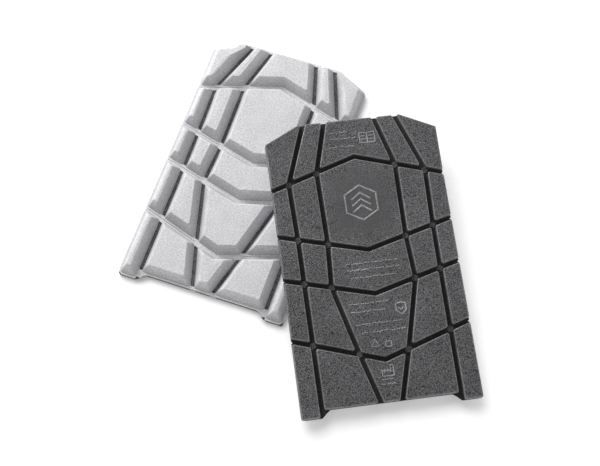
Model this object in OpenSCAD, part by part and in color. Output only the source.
// A pair of foam knee guards: one lies outer face up, the second is turned over and leans on it.
// Each guard is a bevelled outer shell bonded to a flat-blocked inner liner. Grooves cut both layers
// into rows and columns, and the thin web left under each groove is the living hinge that bends there.
// Guard frame: X across the guard, Y from the foot edge to the top edge, Z = 0 on the face that
// touches the knee and Z = guard thickness on the face that touches the ground.

/* [Outline] */
// Width across the straight sides
guard_w = 149; // [144:1:156]
// Width across the two top corners, where the sides flare
corner_w = 150; // [140:1:160]
// Height of the flared top corners above the foot edge
corner_y = 237; // [230:1:242]
// Height above the foot edge at which the sides start to flare
flare_y = 201; // [199:1:212]
// Width of the level part of the top edge between the two corner chamfers
top_edge_w = 89; // [84:1:96]
// Depth of the shallow recess between the two feet
recess_depth = 6; // [3:0.5:7]
// Width of the recess at its mouth
recess_w = 116; // [112:1:124]
// Horizontal run of the slope from foot to recess
recess_slope = 8; // [5:0.5:12]
// Radius of the rounded outline corners
corner_r = 4; // [1:0.5:6]

/* [Rows] */
// Length of the foot row on the centre line
foot_len = 40.5; // [36:0.5:44]
// Length of the shin row on the centre line
shin_len = 55.5; // [50:0.5:60]
// Length of the curved band below the kneecap on the centre line
band_len = 38; // [34:0.5:42]
// Length of the kneecap row on the centre line
kneecap_len = 83.5; // [78:0.5:88]
// Length of the top row on the centre line
top_len = 34.5; // [30:0.5:38]
// Rise of the four cross grooves towards the sides, in degrees, foot end first
groove_slope = [18, 15, 15, -17.3]; // [-20:0.1:20]

/* [Columns] */
// Half widths of the centre plates where they meet the foot edge, the cross grooves and the top edge
plate_half = [8.7, 20.4, 35.4, 33.2, 34, 21.6]; // [6:0.1:40]
// Half spacing of the grooves beside the edge strips at the same six stations
strip_half = [57, 57.2, 57.4, 57.6, 59, 40]; // [38:0.1:62]
// Width of a groove at its floor, between two blocks
groove_w = 3.6; // [3:0.1:4]

/* [Layers] */
// Height of the flat liner blocks that press on the knee
liner_block_h = 4.4; // [3.5:0.1:6]
// Thickness of the liner's skin under its grooves
liner_skin_t = 0.8; // [0.6:0.1:1.2]
// Distance from the outline to the foot of an outer liner block
liner_margin = 0.5; // [0.2:0.1:1.5]
// Thickness of the shell's web under its grooves
shell_web_t = 1.8; // [1.2:0.1:2.2]
// Height of the bevelled shell blocks above the web
shell_block_h = 9.5; // [7:0.1:11]
// Horizontal run of the bevel on each side of a shell block
shell_bevel_run = 5; // [3:0.1:6]
// Distance from the outline to the foot of an outer shell block
shell_margin = 1.2; // [0.6:0.1:2]

/* [Hinge lines] */
// Clearance that stands for the flexing foam between a plate and its wings, and between plates
hinge_gap = 0.7; // [0.6:0.05:1]
// Clearance between the wings of neighbouring rows, which no joint links
seam_gap = 1.8; // [1:0.1:2.2]

/* [Second guard] */
// Position of the second guard's foot edge, to the right of the first guard's
lean_x = 183.5; // [175:0.5:190]
// Position of the second guard's foot edge, along the first guard
lean_y = -41.5; // [-48:0.5:-36]
// Height of the second guard's knee face at the middle of its foot edge
lean_z = 17.1; // [17:0.1:24]
// Turn of the second guard on the floor, in degrees
lean_yaw = 26.2; // [24:0.1:28]
// Rise of the second guard towards its top edge, in degrees
lean_pitch = 7.2; // [7.2:0.1:10]
// Rise of the second guard towards the first guard, in degrees
lean_roll = 1; // [1:0.1:2]

/* [Hidden] */
ROWS = ["foot", "shin", "band", "kneecap", "top"];
SECTIONS = ["left", "plate", "right"];
LAYERS = ["liner", "shell"];
GUARDS = ["lower", "upper"];

liner_t = liner_block_h + liner_skin_t;
web_top = liner_t + shell_web_t;
guard_len = foot_len + shin_len + band_len + kneecap_len + top_len;
// Centre-line height and slope of each station: recess edge, the four cross grooves, top edge
station_y = [recess_depth, foot_len, foot_len + shin_len, foot_len + shin_len + band_len,
    guard_len - top_len, guard_len];
station_slope = [0, tan(groove_slope[0]), tan(groove_slope[1]), tan(groove_slope[2]),
    tan(groove_slope[3]), 0];
// Height of the kneecap plate's middle, which is the row origin of the first guard
kneecap_y = guard_len - top_len - kneecap_len / 2;
// A length that reaches past the guard from any point of it
reach = 2 * guard_len;
// A half width just past the guard's sides
past_side = corner_w / 2 + 5;
arc_steps = 5;
// Sine of a turn that is too slight to round
straight_turn = 0.001;

shell_colour = "gainsboro";
liner_colour = "dimgray";

// Kinds of edge around a block: along a groove, along the outline, or on the plate's centre line
GROOVE = 0;
OUTLINE = 1;
CENTRE = 2;

function piece_name(guard, row, section, layer) = str(guard, "_", row, "_", section, "_", layer);

// The point of a station's line at a distance x from the centre line
function station(i, x) = [x, station_y[i] + station_slope[i] * abs(x)];

function unit(v) = v / norm(v);
function leftward(v) = [-v.y, v.x];

// Where the line through p along u meets the line through q along v
function meeting(p, u, q, v) = p + u * cross(q - p, v) / cross(u, v);

// A counter-clockwise polygon with each edge moved inwards by its own distance
function inset(points, distances) = let (n = len(points)) [for (i = [0 : n - 1])
    let (before = points[(i + n - 1) % n], here = points[i], after = points[(i + 1) % n],
        u = unit(here - before), v = unit(after - here))
    meeting(here + leftward(u) * distances[(i + n - 1) % n], u, here + leftward(v) * distances[i], v)];

// Short arc of radius r that rounds the corner at here, or the corner itself where it is straight
function corner_arc(before, here, after, r) =
    let (u = unit(before - here), v = unit(after - here), turn = cross(u, v))
    abs(turn) < straight_turn ? [here] :
    let (half = acos(u * v) / 2, mid = unit(u + v), centre = here + mid * r / sin(half),
        start = atan2(-mid.y, -mid.x))
    [for (step = [0 : arc_steps])
        let (a = start + sign(turn) * (90 - half) * (1 - 2 * step / arc_steps))
        centre + r * [cos(a), sin(a)]];

// A polygon whose corners are rounded to radius r
function rounded(points, r) = let (n = len(points)) [for (i = [0 : n - 1])
    each corner_arc(points[(i + n - 1) % n], points[i], points[(i + 1) % n], r)];

function mirrored(points) = [for (p = points) [-p.x, p.y]];
function reversed(points) = [for (i = [len(points) - 1 : -1 : 0]) points[i]];

// The right half of the guard's outline, from the recess to the top edge
half_outline = [[recess_w / 2 - recess_slope, recess_depth], [recess_w / 2, 0], [guard_w / 2, 0],
    [guard_w / 2, flare_y], [corner_w / 2, corner_y], [top_edge_w / 2, guard_len]];
outline = rounded(concat(half_outline, reversed(mirrored(half_outline))), corner_r);

// Corners of the right half of a centre plate, of the block beside it and of the edge strip
function half_plate_cell(row) = [station(row, 0), station(row, plate_half[row]),
    station(row + 1, plate_half[row + 1]), station(row + 1, 0)];
function inner_cell(row) = [station(row, plate_half[row]), station(row, strip_half[row]),
    station(row + 1, strip_half[row + 1]), station(row + 1, plate_half[row + 1])];
function strip_cell(row) =
    row == 0 ? [[strip_half[0], 0], [guard_w / 2, 0], station(1, guard_w / 2), station(1, strip_half[1])] :
    row == 4 ? [station(4, strip_half[4]), station(4, guard_w / 2), [corner_w / 2, corner_y],
        [top_edge_w / 2, guard_len], [strip_half[5], guard_len]] :
    [station(row, strip_half[row]), station(row, guard_w / 2), station(row + 1, guard_w / 2),
        station(row + 1, strip_half[row + 1])];

// Kind of each edge of those cells, in the order of their corners
function foot_edge(row) = row == 0 ? OUTLINE : GROOVE;
function top_edge(row) = row == 4 ? OUTLINE : GROOVE;
function half_plate_edges(row) = [foot_edge(row), GROOVE, top_edge(row), CENTRE];
function inner_edges(row) = [foot_edge(row), GROOVE, top_edge(row), GROOVE];
function strip_edges(row) = row == 4 ? [GROOVE, OUTLINE, OUTLINE, OUTLINE, GROOVE] :
    [foot_edge(row), OUTLINE, GROOVE, GROOVE];

// Inset of each edge of a block from its cell
function block_insets(edges, margin) = [for (e = edges) e == GROOVE ? groove_w / 2 : e == OUTLINE ? margin : 0];

// Half of a hinge gap at a row's foot side and at its top side: none where the row ends at the outline
function foot_gap(row, gap) = row == 0 ? 0 : gap / 2;
function top_gap(row, gap) = row == 4 ? 0 : gap / 2;

// Region of the web that belongs to a centre plate: six corners, counter-clockwise
function plate_zone(row) = let (
    low = [0, foot_gap(row, hinge_gap)],
    high = [0, -top_gap(row, hinge_gap)],
    right = [station(row, plate_half[row] - hinge_gap / 2) + low,
        station(row + 1, plate_half[row + 1] - hinge_gap / 2) + high])
    concat([station(row, 0) + low], right, [station(row + 1, 0) + high], reversed(mirrored(right)));

// Region of the web that belongs to a right wing; it runs past the outline, which then trims it
function wing_zone(row) = let (
    low = [0, foot_gap(row, seam_gap)],
    high = [0, -top_gap(row, seam_gap)],
    foot_inner = station(row, plate_half[row] + hinge_gap / 2) + low,
    foot_outer = station(row, past_side) + low)
    concat([foot_inner], row == 0 ? [foot_inner - [0, reach], foot_outer - [0, reach]] : [foot_outer],
        [station(row + 1, past_side) + high, station(row + 1, plate_half[row + 1] + hinge_gap / 2) + high]);

// All space on the inner side of a bevel that rises from the line a-b by h over the given run
module inside_bevel(a, b, run, h) {
    translate([a.x, a.y, 0])
        rotate([0, 0, atan2(b.y - a.y, b.x - a.x)])
            rotate([-atan2(run, h), 0, 0])
                translate([-reach, 0, -reach])
                    cube(2 * reach);
}

// A block with a straight-sided bevel on every edge that is not on the centre line
module bevelled_block(cell, edges) {
    foot = inset(cell, block_insets(edges, shell_margin));
    intersection() {
        linear_extrude(shell_block_h)
            polygon(foot);
        intersection_for(i = [for (k = [0 : len(edges) - 1]) if (edges[k] != CENTRE) k])
            inside_bevel(foot[i], foot[(i + 1) % len(foot)], shell_bevel_run, shell_block_h);
    }
}

module flat_block(cell, edges) {
    linear_extrude(liner_block_h)
        polygon(inset(cell, block_insets(edges, liner_margin)));
}

module both_halves() {
    children();
    mirror([1, 0, 0])
        children();
}

// A sheet over one region of the guard, trimmed to the outline
module sheet(zone, thickness) {
    linear_extrude(thickness)
        intersection() {
            polygon(outline);
            polygon(zone);
        }
}

// Liner: a thin skin under the shell's web, and flat blocks that press on the knee
module liner_plate(row) {
    color(liner_colour) {
        translate([0, 0, liner_block_h])
            sheet(plate_zone(row), liner_skin_t);
        both_halves()
            flat_block(half_plate_cell(row), half_plate_edges(row));
    }
}

module liner_right_wing(row) {
    color(liner_colour) {
        translate([0, 0, liner_block_h])
            sheet(wing_zone(row), liner_skin_t);
        flat_block(inner_cell(row), inner_edges(row));
        flat_block(strip_cell(row), strip_edges(row));
    }
}

// Shell: a web that carries bevelled blocks, which meet the ground
module shell_plate(row) {
    color(shell_colour) {
        translate([0, 0, liner_t])
            sheet(plate_zone(row), shell_web_t);
        translate([0, 0, web_top])
            both_halves()
                bevelled_block(half_plate_cell(row), half_plate_edges(row));
    }
}

module shell_right_wing(row) {
    color(shell_colour) {
        translate([0, 0, liner_t])
            sheet(wing_zone(row), shell_web_t);
        translate([0, 0, web_top]) {
            bevelled_block(inner_cell(row), inner_edges(row));
            bevelled_block(strip_cell(row), strip_edges(row));
        }
    }
}

// One layer of one section of a row, in the guard's own frame
module section_piece(row, section, layer) {
    if (section == "plate") {
        if (layer == "liner") liner_plate(row);
        else shell_plate(row);
    } else {
        mirror([section == "left" ? 1 : 0, 0, 0])
            if (layer == "liner") liner_right_wing(row);
            else shell_right_wing(row);
    }
}

// The first guard lies on its liner; the second is turned over and leans on the first
module placed(guard) {
    if (guard == "lower")
        translate([0, -kneecap_y, 0])
            children();
    else
        translate([lean_x, lean_y - kneecap_y, lean_z])
            rotate([0, 0, lean_yaw])
                rotate([lean_pitch, 0, 0])
                    rotate([0, lean_roll + 180, 0])
                        children();
}

for (guard = GUARDS, row = [0 : 4], section = SECTIONS, layer = LAYERS)
    placed(guard) section_piece(row, section, layer);
